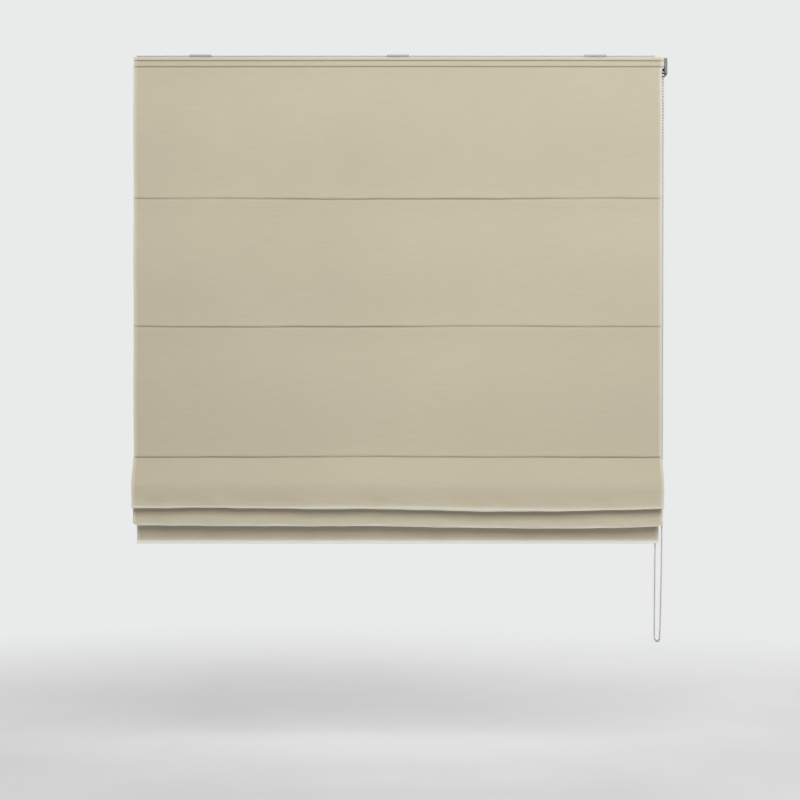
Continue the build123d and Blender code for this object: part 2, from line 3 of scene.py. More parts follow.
import bpy
import numpy as np
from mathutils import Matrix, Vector


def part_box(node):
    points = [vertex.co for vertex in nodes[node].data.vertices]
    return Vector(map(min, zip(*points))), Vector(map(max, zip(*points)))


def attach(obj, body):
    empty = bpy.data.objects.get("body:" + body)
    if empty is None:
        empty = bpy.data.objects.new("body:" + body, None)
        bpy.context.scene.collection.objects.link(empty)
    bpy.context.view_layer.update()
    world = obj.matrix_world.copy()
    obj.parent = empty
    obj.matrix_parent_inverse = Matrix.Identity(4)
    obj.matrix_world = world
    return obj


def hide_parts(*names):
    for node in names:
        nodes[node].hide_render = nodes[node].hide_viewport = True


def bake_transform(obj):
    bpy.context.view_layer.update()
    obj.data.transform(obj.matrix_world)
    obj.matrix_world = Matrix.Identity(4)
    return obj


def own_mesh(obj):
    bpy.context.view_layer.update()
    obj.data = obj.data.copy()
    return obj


# Roman blind, partly raised
# Metres: X to the right, Y away from the room, Z up from the brackets' top faces.

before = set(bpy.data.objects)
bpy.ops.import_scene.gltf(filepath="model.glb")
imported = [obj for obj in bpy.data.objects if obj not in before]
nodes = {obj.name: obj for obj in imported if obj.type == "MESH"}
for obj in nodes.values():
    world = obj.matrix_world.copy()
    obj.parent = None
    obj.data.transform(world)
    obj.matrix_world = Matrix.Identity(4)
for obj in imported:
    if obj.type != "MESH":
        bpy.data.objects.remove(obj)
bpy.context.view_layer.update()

MM = 0.001

# Camera: 3.5 m from the cloth, level, with the photograph's field of view
PHOTO_SIDE_PX = 800
FOCAL_PX = 1731.0
SENSOR_MM = 36
CAMERA_X = 0.004
CAMERA_Z = -0.6994
CAMERA_DISTANCE = 3.5

# Cloth and its layers
CLOTH_T = 0.8 * MM
LINING_T = 0.5 * MM
LAYER_GAP = 0.3 * MM
LAYERS = CLOTH_T + LAYER_GAP + LINING_T
SIDE_HEM = 20 * MM

# Gathered loops, as the photograph shows them
FRONT_REACH = 35 * MM
SECOND_REACH = 13 * MM
FRONT_HANG = 104.4 * MM
SECOND_HANG = 122.2 * MM
LOOP_BEND = 5.4 * MM
LOOP_SAG = 6.0 * MM

# Ball chain, and its route's control points in millimetres
BEAD_D = 4.5 * MM
BEAD_PITCH = 6.0 * MM
LINK_D = 1.6 * MM
CHAIN_ROUTE_MM = [
    (537.0, -10.5, -31.8),
    (535.7, -10.7, -890.0),
    (531.0, -10.9, -1181.6),
    (528.1, -3.7, -1189.5),
    (523.9, 6.7, -1189.5),
    (521.0, 13.9, -1181.6),
    (537.0, 12.5, -31.8),
]

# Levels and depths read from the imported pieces
face_low, face_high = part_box("face_fabric")
half_cloth = face_high.x
cloth_top = face_high.z
hem_bottom = face_low.z
face_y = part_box("loop_tape")[0].y - LAYERS
rods = [sum(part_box(f"rod_{n}"), Vector()) / 2 for n in range(1, 6)]
rod_y = rods[0].y
rod_z = [rod.z for rod in rods]
bar_low, bar_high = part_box("bottom_bar")


# Node materials

def new_material(name):
    material = bpy.data.materials.new(name)
    material.use_nodes = True
    material.node_tree.nodes.clear()
    return material, material.node_tree


def node(tree, kind, **values):
    """A shader node with its sockets set by name and its properties by prop_name."""
    made = tree.nodes.new(kind)
    for key, value in values.items():
        if key.startswith("prop_"):
            setattr(made, key[5:], value)
        else:
            made.inputs[key.replace("_", " ")].default_value = value
    return made


def ramp(tree, source, stops):
    """A colour ramp over a value; stops are (position, colour)."""
    made = tree.nodes.new("ShaderNodeValToRGB")
    elements = made.color_ramp.elements
    while len(elements) < len(stops):
        elements.new(0.5)
    for element, (place, colour) in zip(elements, stops):
        element.position = place
        element.color = (*colour, 1)
    tree.links.new(source, made.inputs["Fac"])
    return made.outputs["Color"]


def mix(tree, kind, share, a, b):
    """Two colours mixed; share, a and b may be sockets or plain values."""
    made = tree.nodes.new("ShaderNodeMix")
    made.data_type = "RGBA"
    made.blend_type = kind
    for socket, value in ((made.inputs[0], share), (made.inputs[6], a), (made.inputs[7], b)):
        if isinstance(value, bpy.types.NodeSocket):
            tree.links.new(value, socket)
        else:
            socket.default_value = (*value, 1) if isinstance(value, tuple) else value
    return made.outputs[2]


def finish_material(tree, colour, roughness, normal=None, **constants):
    """The surface shader: linked colour and roughness, and everything else set on its own sockets."""
    shader = tree.nodes.new("ShaderNodeBsdfPrincipled")
    for key, value in constants.items():
        shader.inputs[key.replace("_", " ")].default_value = value
    tree.links.new(colour, shader.inputs["Base Color"])
    if isinstance(roughness, bpy.types.NodeSocket):
        tree.links.new(roughness, shader.inputs["Roughness"])
    else:
        shader.inputs["Roughness"].default_value = roughness
    if normal is not None:
        tree.links.new(normal, shader.inputs["Normal"])
    output = tree.nodes.new("ShaderNodeOutputMaterial")
    tree.links.new(shader.outputs["BSDF"], output.inputs["Surface"])


def shade(colour, factor):
    return tuple(min(1.0, c * factor) for c in colour)


def weave_material(name, colour, pale, pitch, strength, slub=0.05):
    """Woven cloth: threads both ways in the cloth's own metres, slubs and soft tone changes, with
    painted shade along the sewn lines, and painted highlights in the colour pale on the folded edges, where
    the mesh says so."""
    material, tree = new_material(name)
    link = tree.links.new
    along = node(tree, "ShaderNodeAttribute", prop_attribute_name="cloth_place")
    # How strong the painted highlights and the painted shade are, read from the mesh
    fold_highlights = node(tree, "ShaderNodeAttribute", prop_attribute_name="painted_fold_highlight")
    seams = node(tree, "ShaderNodeAttribute", prop_attribute_name="painted_seam_shade")
    heights = []
    for direction in ("X", "Y"):
        wave = node(
            tree, "ShaderNodeTexWave", prop_wave_type="BANDS", prop_bands_direction=direction,
            Scale=math.pi / (10 * pitch), Distortion=1.2, Detail=1.0, Detail_Scale=1.5,
        )
        link(along.outputs["Vector"], wave.inputs["Vector"])
        heights.append(wave.outputs["Fac"])
    threads = node(tree, "ShaderNodeMath", prop_operation="MULTIPLY")
    link(heights[0], threads.inputs[0])
    link(heights[1], threads.inputs[1])
    stretch = node(tree, "ShaderNodeMapping", Scale=(18.0, 260.0, 1.0))
    link(along.outputs["Vector"], stretch.inputs["Vector"])
    slubs = node(tree, "ShaderNodeTexNoise", Scale=1.0, Detail=3.0, Roughness=0.6)
    link(stretch.outputs["Vector"], slubs.inputs["Vector"])
    soft = node(tree, "ShaderNodeTexNoise", Scale=2.2, Detail=2.0, Roughness=0.5)
    link(along.outputs["Vector"], soft.inputs["Vector"])
    base = ramp(tree, soft.outputs["Fac"], [(0.3, shade(colour, 0.97)), (0.7, shade(colour, 1.03))])
    yarn = ramp(tree, slubs.outputs["Fac"], [(0.3, shade((1, 1, 1), 1 - slub)), (0.7, (1, 1, 1))])
    base = mix(tree, "MULTIPLY", 1.0, base, yarn)
    gaps = ramp(tree, threads.outputs[0], [(0.0, (0.93, 0.93, 0.92)), (0.5, (1, 1, 1))])
    base = mix(tree, "MULTIPLY", 1.0, base, gaps)
    # Painted shade along the sewn lines
    base = mix(tree, "MULTIPLY", seams.outputs["Fac"], base, PAINTED_SEAM_SHADE)
    # Painted highlights on the folded edges and side strips
    base = mix(tree, "MIX", fold_highlights.outputs["Fac"], base, pale)
    bump = node(tree, "ShaderNodeBump", Strength=strength, Distance=0.0002)
    link(threads.outputs[0], bump.inputs["Height"])
    finish_material(
        tree, base, 0.86, bump.outputs["Normal"],
        Sheen_Weight=0.15, Sheen_Roughness=0.5, Specular_IOR_Level=0.25,
    )
    return material


def moulded_plastic(name, colour, roughness=0.42):
    """Moulded plastic: a fine spark-eroded grain, slight tone changes and softly varied gloss."""
    material, tree = new_material(name)
    place = node(tree, "ShaderNodeTexCoord")
    fine = node(tree, "ShaderNodeTexNoise", Scale=900.0, Detail=2.0)
    broad = node(tree, "ShaderNodeTexNoise", Scale=35.0, Detail=3.0)
    for texture in (fine, broad):
        tree.links.new(place.outputs["Object"], texture.inputs["Vector"])
    base = ramp(tree, broad.outputs["Fac"], [(0.3, shade(colour, 0.94)), (0.7, shade(colour, 1.04))])
    gloss = node(tree, "ShaderNodeMapRange", To_Min=roughness - 0.06, To_Max=roughness + 0.08)
    tree.links.new(broad.outputs["Fac"], gloss.inputs["Value"])
    bump = node(tree, "ShaderNodeBump", Strength=0.12, Distance=0.0001)
    tree.links.new(fine.outputs["Fac"], bump.inputs["Height"])
    finish_material(tree, base, gloss.outputs["Result"], bump.outputs["Normal"])
    return material


def drawn_metal(name, colour, roughness, stretch, coat=0.0, metallic=1.0):
    """Metal with fine lines along its length, as drawing, rolling or plating leaves it."""
    material, tree = new_material(name)
    place = node(tree, "ShaderNodeTexCoord")
    mapping = node(tree, "ShaderNodeMapping", Scale=stretch)
    tree.links.new(place.outputs["Object"], mapping.inputs["Vector"])
    lines = node(tree, "ShaderNodeTexNoise", Scale=1.0, Detail=4.0)
    tree.links.new(mapping.outputs["Vector"], lines.inputs["Vector"])
    base = ramp(tree, lines.outputs["Fac"], [(0.3, shade(colour, 0.92)), (0.7, shade(colour, 1.05))])
    gloss = node(tree, "ShaderNodeMapRange", To_Min=roughness * 0.75, To_Max=roughness * 1.3)
    tree.links.new(lines.outputs["Fac"], gloss.inputs["Value"])
    bump = node(tree, "ShaderNodeBump", Strength=0.06, Distance=0.0001)
    tree.links.new(lines.outputs["Fac"], bump.inputs["Height"])
    finish_material(
        tree, base, gloss.outputs["Result"], bump.outputs["Normal"],
        Metallic=metallic, Coat_Weight=coat, Coat_Roughness=0.3,
    )
    return material


def braid_material(name, colour, pitch):
    """Braided cord or stitched thread: slanting strands that cross."""
    material, tree = new_material(name)
    place = node(tree, "ShaderNodeTexCoord")
    wave = node(
        tree, "ShaderNodeTexWave", prop_wave_type="BANDS", prop_bands_direction="DIAGONAL",
        Scale=math.pi / (10 * pitch), Distortion=2.0, Detail=1.0,
    )
    tree.links.new(place.outputs["Object"], wave.inputs["Vector"])
    base = ramp(tree, wave.outputs["Fac"], [(0.1, shade(colour, 0.8)), (0.6, colour)])
    bump = node(tree, "ShaderNodeBump", Strength=0.4, Distance=0.0002)
    tree.links.new(wave.outputs["Fac"], bump.inputs["Height"])
    finish_material(tree, base, 0.75, bump.outputs["Normal"], Sheen_Weight=0.2)
    return material


def plated_ball_material(name, colour, neck_shade_colour):
    """Plated steel balls: bright round the middle, nearly black and duller at the necks where the links go
    in, as the dark holes there and as painted shade between the balls.
    """
    material, tree = new_material(name)
    neck = node(tree, "ShaderNodeAttribute", prop_attribute_name="bead_neck_shade")
    place = node(tree, "ShaderNodeTexCoord")
    rub = node(tree, "ShaderNodeTexNoise", Scale=700.0, Detail=2.0)
    tree.links.new(place.outputs["Object"], rub.inputs["Vector"])
    bright = ramp(tree, rub.outputs["Fac"], [(0.3, shade(colour, 0.93)), (0.7, colour)])
    # Painted shade at the necks and on the links
    base = mix(tree, "MIX", neck.outputs["Fac"], bright, neck_shade_colour)
    gloss = node(tree, "ShaderNodeMapRange", To_Min=0.2, To_Max=0.7)
    tree.links.new(neck.outputs["Fac"], gloss.inputs["Value"])
    finish_material(tree, base, gloss.outputs["Result"], Metallic=0.1)
    return material


def tape_material(name, colour):
    """Touch tape: a field of short hooks or loops."""
    material, tree = new_material(name)
    place = node(tree, "ShaderNodeTexCoord")
    cells = node(tree, "ShaderNodeTexVoronoi", Scale=1100.0)
    tree.links.new(place.outputs["Object"], cells.inputs["Vector"])
    base = ramp(tree, cells.outputs["Distance"], [(0.0, colour), (0.7, shade(colour, 0.6))])
    bump = node(tree, "ShaderNodeBump", Strength=0.7, Distance=0.0004)
    tree.links.new(cells.outputs["Distance"], bump.inputs["Height"])
    finish_material(tree, base, 0.9, bump.outputs["Normal"], Sheen_Weight=0.3)
    return material


STONE = (0.60, 0.54, 0.405)
# Painted highlight colour for the face cloth's folded edges and side strips
STONE_PAINTED_HIGHLIGHT = (0.93, 0.93, 0.84)
IVORY = (0.78, 0.75, 0.67)
# Painted shade colour for the sewn lines' grooves
PAINTED_SEAM_SHADE = (0.42, 0.40, 0.34)

stone_cloth = weave_material("stone_cloth", STONE, STONE_PAINTED_HIGHLIGHT, 0.55 * MM, 0.35)
# The lining's painted highlight colour for its folded edges is the third argument
ivory_lining = weave_material("ivory_lining", IVORY, (0.86, 0.84, 0.78), 0.4 * MM, 0.2, slub=0.03)
thread = braid_material("stone_thread", (0.30, 0.26, 0.18), 0.35 * MM)
lining_thread = braid_material("ivory_thread", (0.72, 0.69, 0.6), 0.35 * MM)
cord_white = braid_material("braided_cord", (0.82, 0.82, 0.80), 0.9 * MM)
tape_white = tape_material("touch_tape", (0.74, 0.73, 0.70))
white_plastic = moulded_plastic("white_plastic", (0.80, 0.80, 0.79))
grey_plastic = moulded_plastic("grey_plastic", (0.16, 0.155, 0.155), 0.5)
clear_plastic = moulded_plastic("clear_plastic", (0.78, 0.79, 0.78), 0.28)
rail_paint = drawn_metal("rail_paint", (0.62, 0.61, 0.62), 0.55, (3.0, 300.0, 300.0), metallic=0.0)
bar_metal = drawn_metal("mill_aluminium", (0.80, 0.80, 0.81), 0.35, (4.0, 900.0, 900.0))
# Zinc-plated steel for the brackets, darkened to a mid grey as painted shade over their tops above the
# header
zinc_steel = drawn_metal("zinc_steel", (0.36, 0.36, 0.37), 0.6, (60.0, 60.0, 60.0), metallic=0.25)
spring_steel = drawn_metal("spring_steel", (0.42, 0.41, 0.40), 0.35, (900.0, 60.0, 60.0))
# The second colour is the nearly black painted shade at the balls' necks and on the links
ball_metal = plated_ball_material("ball_chain", (0.97, 0.96, 0.93), (0.014, 0.014, 0.013))
glass_fibre = drawn_metal(
    "glass_fibre", (0.76, 0.76, 0.70), 0.4, (6.0, 700.0, 700.0), coat=0.4, metallic=0.0,
)

CAD_FINISHES = [
    ("headrail", rail_paint),
    ("bracket", zinc_steel),
    ("hook_tape", tape_white),
    ("loop_tape", tape_white),
    ("idle_end_cap", white_plastic),
    ("cradle", white_plastic),
    ("spool", white_plastic),
    ("shaft_bush", white_plastic),
    ("control", grey_plastic),
    ("chain_wheel", grey_plastic),
    ("brake_core", grey_plastic),
    ("brake_spring", spring_steel),
    ("drive_shaft", bar_metal),
    ("bottom_bar_caps", clear_plastic),
    ("bottom_bar", bar_metal),
    ("rod_tips", clear_plastic),
    ("cord_guides", clear_plastic),
    ("cord_stops", clear_plastic),
    ("rod", glass_fibre),
]
for name, piece in nodes.items():
    for prefix, material in CAD_FINISHES:
        if name.startswith(prefix):
            for slot in piece.material_slots:
                slot.material = material
            break


# Meshes

SMOOTH_ANGLE = 60.0


def new_mesh(name, points, faces, material):
    mesh = bpy.data.meshes.new(name)
    mesh.from_pydata([tuple(p) for p in points], [], faces)
    mesh.materials.append(material)
    mesh.shade_smooth()
    mesh.set_sharp_from_angle(angle=math.radians(SMOOTH_ANGLE))
    piece = bpy.data.objects.new(name, mesh)
    bpy.context.scene.collection.objects.link(piece)
    return piece


def point_values(piece, name, kind, values):
    """A value for each point of a piece, which its material reads by name."""
    attribute = piece.data.attributes.new(name, kind, "POINT")
    key = "value" if kind == "FLOAT" else "vector"
    attribute.data.foreach_set(key, np.asarray(values, np.float32).ravel())


# Cloth course: the face's line down the blind as corners (y, z, bend), rounded and then sampled

HEM_ROOM = 1.1 * MM
PEAK_DROP = 4.0 * MM
PEAK_HALF = 1.22 * MM
PEAK_BEND = 1.2 * MM

front_y = face_y - FRONT_REACH
second_y = face_y - SECOND_REACH
front_bottom = rod_z[2] - FRONT_HANG
second_bottom = rod_z[3] - SECOND_HANG
hem_y = bar_low.y - HEM_ROOM
hem_fold = (bar_high.y - bar_low.y) + 2 * HEM_ROOM
hem_bend = 0.48 * hem_fold
turned_y = hem_y + LAYERS + HEM_ROOM

z1, z2, z3, z4, z5 = rod_z
COURSE = [
    # The three flat panels
    (face_y, cloth_top, 0),
    (face_y, z3 - 2 * MM, 6 * MM),
    # First loop: a round shoulder, the fall to its lip, and the hidden way up to rod 4
    (face_y - 10 * MM, z3 - 14 * MM, 35 * MM),
    (front_y + 10 * MM, z3 - 34 * MM, 40 * MM),
    (front_y + 0.5 * MM, z3 - 56 * MM, 35 * MM),
    (front_y + 7.5 * MM, z3 - 93 * MM, 12 * MM),
    (front_y + 1.0 * MM, front_bottom, LOOP_BEND),
    (front_y + 2.2 * LOOP_BEND, front_bottom, LOOP_BEND),
    (face_y - 8.6 * MM, z5 - 4 * MM, 40 * MM),
    (rod_y - PEAK_HALF, z4 - PEAK_DROP - 3 * MM, 4 * MM),
    # The peak under rod 4, where the cloth is sewn to its pocket
    (rod_y - PEAK_HALF, z4 - PEAK_DROP, PEAK_BEND),
    (rod_y + PEAK_HALF, z4 - PEAK_DROP, PEAK_BEND),
    # Second loop
    (rod_y + PEAK_HALF, z4 - PEAK_DROP - 2.5 * MM, 3 * MM),
    (face_y - 3.4 * MM, z5 - 0.5 * MM, 12 * MM),
    (second_y + 6 * MM, z5 - 40 * MM, 50 * MM),
    (second_y + 2.4 * MM, z5 - 84 * MM, 25 * MM),
    (second_y - 1.2 * MM, second_bottom, LOOP_BEND),
    (second_y + 2 * LOOP_BEND, second_bottom, LOOP_BEND),
    (rod_y - PEAK_HALF, z5 - PEAK_DROP - 24 * MM, 60 * MM),
    # The peak under rod 5
    (rod_y - PEAK_HALF, z5 - PEAK_DROP, PEAK_BEND),
    (rod_y + PEAK_HALF, z5 - PEAK_DROP, PEAK_BEND),
    # The hem, round the bottom bar and up behind it
    (rod_y + PEAK_HALF, z5 - 22 * MM, 50 * MM),
    (hem_y, bar_high.z + 32 * MM, 50 * MM),
    (hem_y, hem_bottom, hem_bend),
    (hem_y + hem_fold, hem_bottom, hem_bend),
    (hem_y + hem_fold, bar_high.z + 2 * MM, 8 * MM),
    (turned_y, bar_high.z + 9 * MM, 8 * MM),
    (turned_y, bar_high.z + 16 * MM, 0),
]


RUN_STEP = 4 * MM
TURN_STEP = 0.24
# A bend takes at most this share of each run beside it
BEND_SHARE = 0.495


def rounded(corners):
    """Points along a line of corners with round bends: straight runs in short steps, bends by angle."""
    places = [np.array(c[:2]) for c in corners]
    line = [places[0]]
    for before, here, after, (_, _, bend) in zip(places, places[1:], places[2:], corners[1:]):
        arrive = (here - before) / np.linalg.norm(here - before)
        leave = (after - here) / np.linalg.norm(after - here)
        turn = math.atan2(arrive[0] * leave[1] - arrive[1] * leave[0], arrive @ leave)
        runs = np.linalg.norm(here - before), np.linalg.norm(after - here)
        reach = min(bend * math.tan(abs(turn) / 2), BEND_SHARE * min(runs))
        bend = reach / max(math.tan(abs(turn) / 2), 1e-9)
        side = np.array([-arrive[1], arrive[0]]) * math.copysign(1, turn)
        start = here - arrive * reach
        centre = start + side * bend
        run = np.linalg.norm(start - line[-1])
        for k in range(1, max(1, int(run / RUN_STEP))):
            line.append(line[-1] + arrive * RUN_STEP)
        spoke = start - centre
        beside = np.array([-spoke[1], spoke[0]])
        parts = max(2, math.ceil(abs(turn) / TURN_STEP))
        for k in range(parts + 1):
            angle = turn * k / parts
            line.append(centre + spoke * math.cos(angle) + beside * math.sin(angle))
    end = places[-1]
    run = np.linalg.norm(end - line[-1])
    heading = (end - line[-1]) / max(run, 1e-9)
    for k in range(1, max(1, int(run / RUN_STEP))):
        line.append(line[-1] + heading * RUN_STEP)
    line.append(end)
    kept = [line[0]]
    for point in line[1:]:
        if np.linalg.norm(point - kept[-1]) > 0.05 * MM:
            kept.append(point)
    return np.array(kept)


def lengths(line):
    """How far along a line each of its points lies."""
    return np.concatenate([[0], np.cumsum(np.linalg.norm(np.diff(line, axis=0), axis=1))])


course = rounded(COURSE)
course_s = lengths(course)


def place_on_course(y, z, after):
    """The length along the course at which it comes nearest to (y, z), past a given length."""
    gaps = np.hypot(course[:, 0] - y, course[:, 1] - z) + 1e3 * (course_s < after)
    return course_s[int(np.argmin(gaps))]


s_top = 0.0
s_rod1, s_rod2, s_rod3 = (cloth_top - z for z in (z1, z2, z3))
s_front = place_on_course(front_y + LOOP_BEND, front_bottom, s_rod3)
s_rod4 = place_on_course(rod_y, z4 - PEAK_DROP, s_front)
s_second = place_on_course(second_y + LOOP_BEND, second_bottom, s_rod4)
s_rod5 = place_on_course(rod_y, z5 - PEAK_DROP, s_second)
s_hem = place_on_course(hem_y + hem_fold / 2, hem_bottom, s_rod5)
s_end = course_s[-1]


def bump_at(value, middle, before, after):
    """A smooth hill from 0 to 1 and back, with its own width on each side."""
    width = np.where(value < middle, before, after)
    t = np.clip(1 - np.abs(value - middle) / width, 0, 1)
    return t * t * (3 - 2 * t)


def gauss(value, width):
    return np.exp(-0.5 * (value / width) ** 2)


# Sewn lines across the cloth, and how it stands proud beside them: (height, width) above and below
HEADER_STITCHES = (7.0 * MM, 19.2 * MM)
HEADER_LINE = 0.75 * MM
HEADER_GROOVE = 1.1 * MM
HEADER_PROUD = 1.3 * MM
SEAM_DROPS = (1.6 * MM, 1.0 * MM, 1.7 * MM)
SEAM_LINE = 1.15 * MM
SEAM_GROOVE = 1.5 * MM
ABOVE_SEAM = (1.3 * MM, 9 * MM)
BELOW_SEAM = (2.2 * MM, 16 * MM)

# Each flat panel's ends along the course, and how far it bows out between them
PANEL_BOWS = (
    (s_top, s_rod1, 5.6 * MM),
    (s_rod1, s_rod2, 3.8 * MM),
    (s_rod2, s_rod3, 4.4 * MM),
)

# Waves across the cloth as (period in metres, share of the height)
FURROWS = ((0.34, 1.0), (0.15, 0.5), (0.07, 0.2))
PUCKERS = ((0.027, 1.0), (0.019, 0.6))
DENTS = ((0.21, 1.0), (0.09, 0.8), (0.05, 0.4))

# The small pinch in the second loop, near its left end
PINCH_X = -0.452

# Where the lips sag most, and how far that reaches to the left and right
SAG_X = 0.335
SAG_REACH = (0.42, 0.28)


def hand_wave(x, seed, parts=((0.9, 1.0), (0.37, 0.5), (0.16, 0.3), (0.07, 0.12))):
    """A gentle uneven wave across the cloth, from a few sines with their own phases."""
    total = 0.0
    for i, (period, height) in enumerate(parts):
        total = total + height * np.sin(2 * math.pi * x / period + 1.7 * seed + 2.3 * i * seed)
    return total


def seam_lines(x):
    """The sewn lines across the blind: each one's length along the course, its width and the strength of
    its painted shade.
    """
    lines = [
        (place + 0.15 * MM * hand_wave(x, seed), HEADER_LINE, 1.0)
        for place, seed in zip(HEADER_STITCHES, (6.1, 2.7))
    ]
    for seed, (place, drop) in enumerate(zip((s_rod1, s_rod2, s_rod3), SEAM_DROPS), 1):
        tone = np.clip(0.62 + 0.2 * hand_wave(x, seed + 3.4), 0.3, 0.9)
        lines.append((place + drop + 0.7 * MM * hand_wave(x, seed), SEAM_LINE, tone))
    return lines


def relief(s, x):
    """How far the relaxed cloth stands behind its course, or in front of it where this is negative."""
    out = np.zeros_like(s)
    for top, bottom, bow in PANEL_BOWS:
        inside = np.clip((s - top) / (bottom - top), 0, 1)
        out -= bow * np.sin(math.pi * inside) ** 2 * (1 + 0.22 * hand_wave(x, 1e3 * bow))
        # Long shallow furrows, where the cloth hangs a little slack between its rods
        out -= 0.35 * MM * hand_wave(x, 800 * bow, FURROWS) * np.sin(math.pi * inside) ** 4
    lines = seam_lines(x)
    first, second = (gauss(s - line, HEADER_GROOVE) for line, _, _ in lines[:2])
    out -= HEADER_PROUD * (1 - first) * (1 - second) * gauss(s - 10 * MM, 16 * MM)
    for seed, (line, _, _) in enumerate(lines[2:], 1):
        past = s - line
        height, width = (np.where(past < 0, *pair) for pair in zip(ABOVE_SEAM, BELOW_SEAM))
        pucker = 1 + 0.10 * hand_wave(x, seed + 5, PUCKERS) * gauss(past, 7 * MM)
        out -= height * gauss(past, width) * (1 - gauss(past, SEAM_GROOVE)) * pucker
    # Uneven slack in the two loops, which fades out towards rod 3 and towards the hem
    loops = np.clip((s - s_rod3) / (30 * MM), 0, 1) * np.clip((s_hem - 40 * MM - s) / (40 * MM), 0, 1)
    slack = 0.9 * hand_wave(x, 4.2) * np.sin(s * 19) + 0.5 * hand_wave(x, 7.9) * np.cos(s * 31)
    out += loops * MM * slack
    # Soft dents above the two folded lips
    for line, reach in ((s_front, 16 * MM), (s_second, 12 * MM)):
        out += 1.3 * MM * hand_wave(x, 9.1, DENTS) * gauss(s - line + reach, 6 * MM)
    pinch = gauss(x - PINCH_X, 7 * MM) * gauss(s - (s_second - 9 * MM), 5 * MM)
    return out - 1.6 * MM * pinch


def near_side(x, reach):
    """Rises from 0 to 1 over the last stretch before either side edge."""
    return np.clip((np.abs(x) - half_cloth + reach) / reach, 0, 1) ** 2


def cloth_shape(s, x, y, z, ny, nz):
    """The relaxed cloth's place from the course's, whose normal towards the back is (ny, nz)."""
    out = relief(s, x)
    y = y + out * ny
    z = z + out * nz
    sag = LOOP_SAG * bump_at(x, SAG_X, *SAG_REACH) + 0.5 * MM * hand_wave(x, 1.3)
    front = np.clip(1 - np.abs(s - s_front) / (95 * MM), 0, 1)
    second = np.clip(1 - np.abs(s - s_second) / (100 * MM), 0, 1)
    lift = 0.9 * MM * near_side(x, 90 * MM)
    corner = 5 * MM * near_side(x, 8 * MM) * gauss(s - s_second, 9 * MM)
    z = z - sag * (front + second) + lift * (front + second) + corner
    return y, z


# How much wider the cloth reaches on the left and the right and at the header's right end, in millimetres
WIDER = (-1.3, 0.5)
HEADER_FLARE = 4.1
# How much narrower the cloth is at the hem than above it, as a share of the width
HEM_PULL = 0.0072


def taper(s, x):
    """Widths that change down the blind: the header's right end reaches over the control unit, and the
    hem below the second loop is pulled in a little at both sides."""
    header = np.clip((HEADER_STITCHES[1] + 7 * MM - s) / (7 * MM), 0, 1)
    header = header * header * (3 - 2 * header)
    right = np.clip((x - half_cloth + 70 * MM) / (70 * MM), 0, 1) ** 2
    share = np.clip((s - s_second - 30 * MM) / (s_hem - s_second - 30 * MM), 0, 1)
    pulled = x * (1 - HEM_PULL * share * share * (3 - 2 * share))
    wide = MM * np.where(x < 0, *WIDER) * np.abs(x) / half_cloth
    return pulled + wide + header * right * HEADER_FLARE * MM


def course_frame(s):
    """The course's points at given lengths, and its normals towards the cloth's back."""
    def at(where):
        return np.array([np.interp(where, course_s, course[:, k]) for k in (0, 1)])

    y, z = at(s)
    step_y, step_z = at(s + 0.3 * MM) - at(s - 0.3 * MM)
    size = np.hypot(step_y, step_z)
    return y, z, -step_z / size, step_y / size


def cloth_surface(s, x):
    """Points of the face's front at given lengths and widths, and the directions there down and behind."""
    y, z = cloth_shape(s, x, *course_frame(s))
    below = cloth_shape(s + 0.2 * MM, x, *course_frame(s + 0.2 * MM))
    above = cloth_shape(s - 0.2 * MM, x, *course_frame(s - 0.2 * MM))
    down = np.stack([np.zeros_like(s), below[0] - above[0], below[1] - above[1]], 1)
    down = down / np.linalg.norm(down, axis=1)[:, None]
    behind = np.stack([np.zeros_like(s), -down[:, 2], down[:, 1]], 1)
    return np.stack([taper(s, x), y, z], 1), down, behind


# Extra rows of points beside each sewn line, in millimetres above and below it
SEAM_ROWS_MM = (0, 0.45, 0.9, 1.4, 2, 2.7, 3.7, 5)


def course_rows(start, end):
    """Lengths along the course between two of its places, closer together at the sewn lines."""
    steps = np.array([*(-step for step in SEAM_ROWS_MM[:0:-1]), *SEAM_ROWS_MM]) * MM
    seams = [place + drop for place, drop in zip((s_rod1, s_rod2, s_rod3), SEAM_DROPS)]
    fine = [place + steps for place in (*HEADER_STITCHES, *seams)]
    known = np.concatenate([course_s, *fine])
    inside = known[(known > start + 0.2 * MM) & (known < end - 0.2 * MM)]
    return np.unique(np.round(np.concatenate([[start], inside, [end]]), 5))


# Painted highlights on the folded edges as (place, strength, how far before the place, width), and painted
# highlight strips at the sides
PAINTED_FOLD_HIGHLIGHTS = (
    (s_front, 0.5, 2.5 * MM, 2.8 * MM),
    (s_second, 0.95, 2.5 * MM, 3.0 * MM),
    (s_hem, 1.0, 4.6 * MM, 2.7 * MM),
    (s_top, 0.25, 0.0, 3.0 * MM),
)
# Strength of the side strips' painted highlight, and the share of the painted highlights that the lining
# takes
SIDE_PAINTED_HIGHLIGHT = 0.42
LINING_PAINTED_HIGHLIGHT = 0.3


def painted_fold_highlight(s, x):
    """How strong the painted highlight is towards the folded edges and the side edges, from 0 to 1."""
    glow = np.zeros_like(s)
    for place, strength, before, width in PAINTED_FOLD_HIGHLIGHTS:
        glow = np.maximum(glow, strength * gauss(s - place + before, width))
    side = np.clip((np.abs(x) - (half_cloth - 3.0 * MM)) / (1.5 * MM), 0, 1)
    return np.maximum(glow, SIDE_PAINTED_HIGHLIGHT * side)


def painted_seam_shade(s, x):
    """How strong the painted shade along the sewn lines is, from 0 to 1."""
    sewn = np.zeros_like(s)
    for line, width, tone in seam_lines(x):
        sewn = np.maximum(sewn, tone * gauss(s - line, width))
    return np.clip(sewn, 0, 1)


